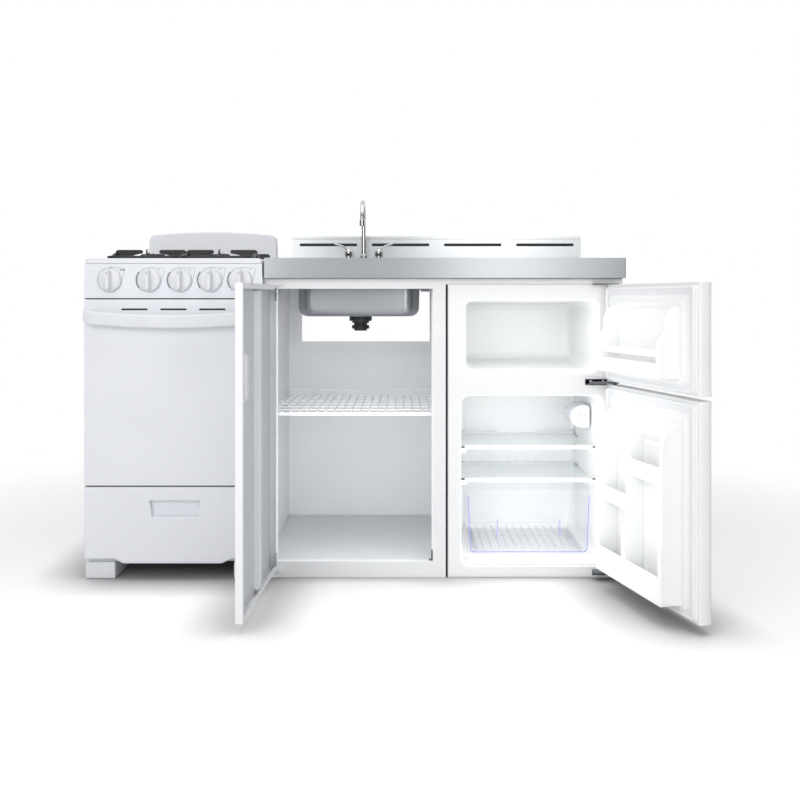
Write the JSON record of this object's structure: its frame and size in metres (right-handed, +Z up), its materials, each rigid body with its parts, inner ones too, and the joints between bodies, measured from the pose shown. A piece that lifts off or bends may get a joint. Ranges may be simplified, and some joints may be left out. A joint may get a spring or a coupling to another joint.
{
  "type": "kitchenette unit with sink and hob",
  "caption": "All-in-one kitchenette: white gas range beside a steel-topped sink cabinet and a built-in fridge-freezer, cabinet and fridge doors open.",
  "frame": {"origin": "middle of the footprint on the floor, with the doors open as stored", "axes": "+Z up, +X to the right as seen from the front, the front faces -Y"},
  "size_m": [1.6382, 1.1025, 1.1252],
  "materials": {
    "enamel_white": "gloss enamel",
    "cabinet_white": "satin powder coat",
    "stainless": "brushed",
    "chrome_plate": "mirror",
    "black_enamel": "matt black enamel",
    "cast_aluminium": "cast",
    "knob_white": "moulded, gloss",
    "liner_white": "satin moulded",
    "shelf_glass": "clear, polished edge",
    "crisper_clear": "clear moulded plastic with a blue tint",
    "oven_enamel": "dark speckled enamel",
    "wire_white": "dipped vinyl coat",
    "floor_grey": "satin",
    "hinge_grey": "satin",
    "black_plastic": "moulded",
    "compressor_black": "gloss"
  },
  "bodies": {
    "kitchenette": {"range_base": "enamel_white", "range_body": "enamel_white", "oven_liner": "oven_enamel", "oven_burner": "cast_aluminium", "cooktop": "enamel_white", "burner_front_left": "cast_aluminium", "burner_rear_left": "cast_aluminium", "burner_front_right": "cast_aluminium", "burner_rear_right": "cast_aluminium", "control_panel": "enamel_white", "gas_manifold": "cast_aluminium", "backguard": "enamel_white", "countertop": "stainless", "sink_bowl": "stainless", "drain_flange": "stainless", "drain_outlet": "black_plastic", "faucet_body": "chrome_plate", "cabinet_left_side": "cabinet_white", "cabinet_divider": "cabinet_white", "cabinet_back": "cabinet_white", "cabinet_floor": "floor_grey", "front_frame": "cabinet_white", "door_catch": "hinge_grey", "wire_shelf": "wire_white", "cabinet_hinge_top": "stainless", "cabinet_hinge_bottom": "stainless", "fridge_body": "cabinet_white", "fridge_liner": "liner_white", "crisper_cover": "shelf_glass", "thermostat_box": "liner_white", "compressor": "compressor_black", "hinge_centre": "hinge_grey", "hinge_top": "hinge_grey", "hinge_bottom": "hinge_grey"},
    "oven_door": {"oven_door_panel": "enamel_white", "oven_door_liner": "oven_enamel", "oven_door_handle": "knob_white"},
    "range_drawer": {"range_drawer_front": "enamel_white", "range_drawer_box": "floor_grey"},
    "rack": {"oven_rack": "chrome_plate"},
    "left_grate": {"grate_left": "black_enamel"},
    "right_grate": {"grate_right": "black_enamel"},
    "front_left_knob": {"knob_front_left": "knob_white"},
    "rear_left_knob": {"knob_rear_left": "knob_white"},
    "oven_knob": {"knob_oven": "knob_white"},
    "rear_right_knob": {"knob_rear_right": "knob_white"},
    "front_right_knob": {"knob_front_right": "knob_white"},
    "spout": {"faucet_spout": "chrome_plate"},
    "left_lever": {"faucet_lever_left": "chrome_plate"},
    "right_lever": {"faucet_lever_right": "chrome_plate"},
    "basket": {"strainer_basket": "stainless"},
    "sink_door": {"cabinet_door": "cabinet_white", "door_pull": "knob_white"},
    "freezer_door_group": {"freezer_door": "cabinet_white", "freezer_door_liner": "liner_white"},
    "fridge_door_group": {"fridge_door": "cabinet_white", "fridge_door_liner": "liner_white"},
    "shelf": {"glass_shelf": "shelf_glass"},
    "crisper": {"crisper_drawer": "crisper_clear"},
    "dial": {"thermostat_dial": "liner_white"}
  },
  "joints": [
    {"name": "oven_door_drop", "type": "hinge", "parent": "kitchenette", "child": "oven_door", "pos_m": [-0.567, -0.083, 0.275], "axis": [1, 0, 0], "range_deg": [0, 85]},
    {"name": "range_drawer_slide", "type": "slide", "parent": "kitchenette", "child": "range_drawer", "axis": [0, -1, 0], "range_m": [0, 0.3]},
    {"name": "rack_slide", "type": "slide", "parent": "kitchenette", "child": "rack", "axis": [0, -1, 0], "range_m": [0, 0.08]},
    {"name": "left_grate_lift", "type": "slide", "parent": "kitchenette", "child": "left_grate", "axis": [0, 0, 1], "range_m": [0, 0.15]},
    {"name": "right_grate_lift", "type": "slide", "parent": "kitchenette", "child": "right_grate", "axis": [0, 0, 1], "range_m": [0, 0.15]},
    {"name": "front_left_knob_turn", "type": "hinge", "parent": "kitchenette", "child": "front_left_knob", "pos_m": [-0.747, -0.088, 0.851], "axis": [0, -1, 0], "range_deg": [0, 210]},
    {"name": "rear_left_knob_turn", "type": "hinge", "parent": "kitchenette", "child": "rear_left_knob", "pos_m": [-0.635, -0.088, 0.851], "axis": [0, -1, 0], "range_deg": [0, 210]},
    {"name": "oven_knob_turn", "type": "hinge", "parent": "kitchenette", "child": "oven_knob", "pos_m": [-0.547, -0.088, 0.851], "axis": [0, -1, 0], "range_deg": [0, 270]},
    {"name": "rear_right_knob_turn", "type": "hinge", "parent": "kitchenette", "child": "rear_right_knob", "pos_m": [-0.4615, -0.088, 0.851], "axis": [0, -1, 0], "range_deg": [0, 210]},
    {"name": "front_right_knob_turn", "type": "hinge", "parent": "kitchenette", "child": "front_right_knob", "pos_m": [-0.376, -0.088, 0.851], "axis": [0, -1, 0], "range_deg": [0, 210]},
    {"name": "spout_swivel", "type": "hinge", "parent": "kitchenette", "child": "spout", "pos_m": [-0.047, 0.462, 0.93], "axis": [0, 0, 1], "range_deg": [-90, 90]},
    {"name": "left_lever_turn", "type": "hinge", "parent": "kitchenette", "child": "left_lever", "pos_m": [-0.098, 0.462, 0.945], "axis": [0, 0, 1], "range_deg": [0, 90]},
    {"name": "right_lever_turn", "type": "hinge", "parent": "kitchenette", "child": "right_lever", "pos_m": [0.004, 0.462, 0.945], "axis": [0, 0, -1], "range_deg": [0, 90]},
    {"name": "basket_lift", "type": "slide", "parent": "kitchenette", "child": "basket", "axis": [0, 0, 1], "range_m": [0, 0.2]},
    {"name": "sink_door_swing", "type": "hinge", "parent": "kitchenette", "child": "sink_door", "pos_m": [-0.285, -0.064, 0.43], "axis": [0, 0, 1], "range_deg": [-12, 92.5]},
    {"name": "freezer_door_swing", "type": "hinge", "parent": "kitchenette", "child": "freezer_door_group", "pos_m": [0.685, -0.085, 0.7], "axis": [0, 0, 1], "range_deg": [-104, 16]},
    {"name": "fridge_door_swing", "type": "hinge", "parent": "kitchenette", "child": "fridge_door_group", "pos_m": [0.685, -0.085, 0.29], "axis": [0, 0, 1], "range_deg": [-104, 16]},
    {"name": "shelf_slide", "type": "slide", "parent": "kitchenette", "child": "shelf", "axis": [0, -1, 0], "range_m": [0, 0.16]},
    {"name": "crisper_slide", "type": "slide", "parent": "kitchenette", "child": "crisper", "axis": [0, -1, 0], "range_m": [0, 0.16]},
    {"name": "dial_turn", "type": "hinge", "parent": "kitchenette", "child": "dial", "pos_m": [0.61653, 0.091, 0.436], "axis": [0, -1, 0], "range_deg": [0, 270]}
  ]
}
